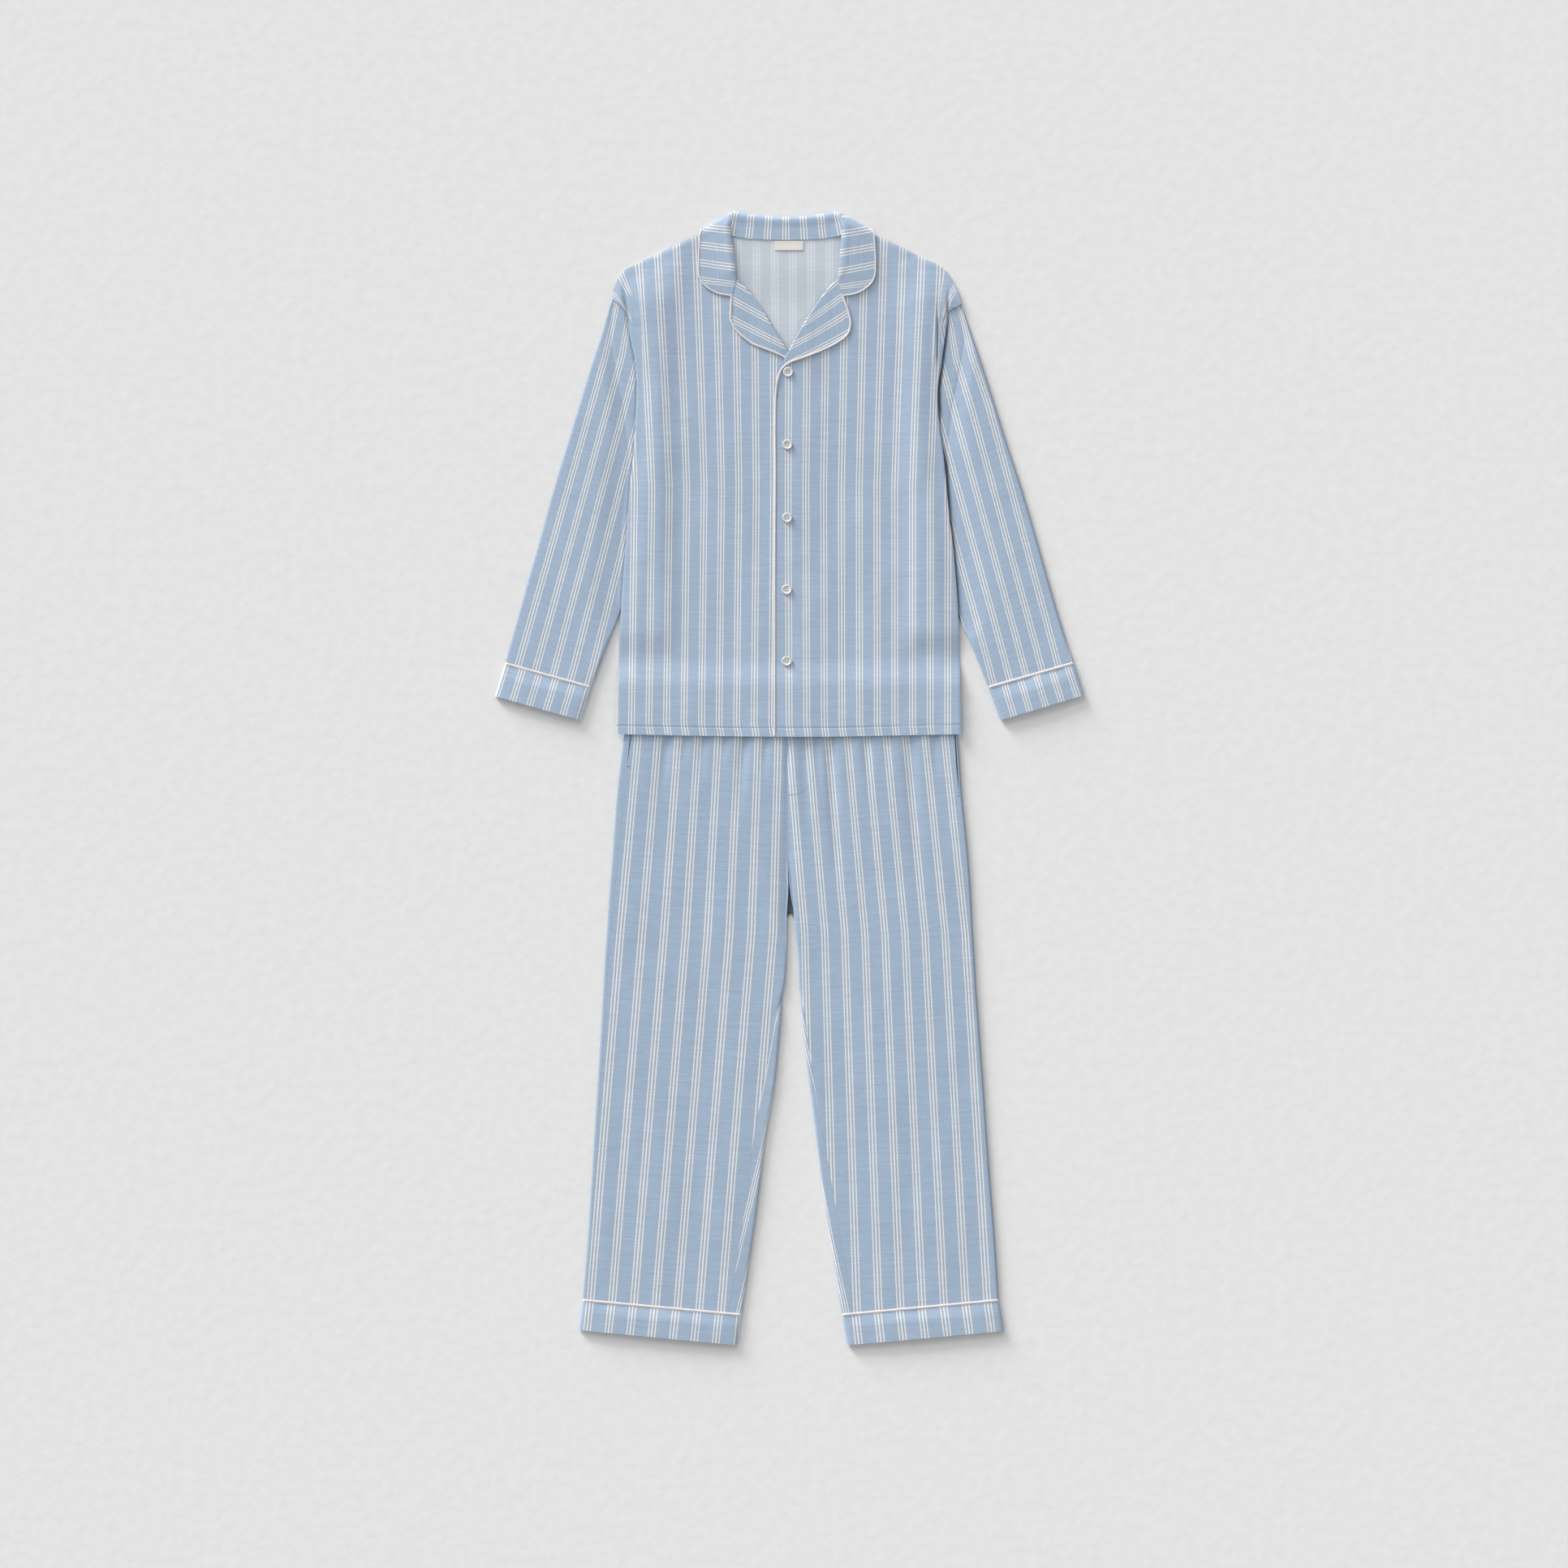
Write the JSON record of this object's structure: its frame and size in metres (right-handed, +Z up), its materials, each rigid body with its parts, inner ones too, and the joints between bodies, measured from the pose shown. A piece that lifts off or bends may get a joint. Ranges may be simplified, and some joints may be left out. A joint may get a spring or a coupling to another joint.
{
  "type": "pyjama set, long-sleeved jacket and trousers laid flat",
  "caption": "Striped pyjama jacket with a notched collar, piped edges and a buttoned front, laid flat over the waist of its matching trousers.",
  "frame": {"origin": "middle of the whole set's box, on the surface that it lies on", "axes": "+X to the viewer's right across the body, +Y from the trouser hems towards the collar, +Z up away from the surface"},
  "size_m": [0.9088, 1.7469, 0.0136],
  "materials": {
    "cloth": "matt woven cotton with a fine slub, light blue with narrow stripes",
    "trousers": "matt woven cotton with a fine slub, light blue with narrow stripes",
    "piping": "smooth satin cord piping, off-white",
    "tag": "woven tape, off-white",
    "button": "pearly resin, softly glossy"
  },
  "bodies": {
    "root": {"jacket_back": "cloth", "jacket_front_right": "cloth", "jacket_front_left": "cloth", "collar": "cloth", "collar_piping": "piping", "lapel_piping_right": "piping", "front_piping_left": "piping", "neck_tag": "tag", "waistband": "trousers", "lapel_right": "cloth", "sleeve_right": "cloth", "cuff_right": "cloth", "cuff_piping_right": "piping", "trouser_front_right": "trousers", "trouser_back_right": "trousers", "leg_band_right": "trousers", "leg_piping_right": "piping", "pocket_bag_right": "trousers", "lapel_left": "cloth", "sleeve_left": "cloth", "cuff_left": "cloth", "cuff_piping_left": "piping", "trouser_front_left": "trousers", "trouser_back_left": "trousers", "leg_band_left": "trousers", "leg_piping_left": "piping", "pocket_bag_left": "trousers", "button_1": "button", "button_2": "button", "button_3": "button", "button_4": "button", "button_5": "button"}
  },
  "joints": []
}
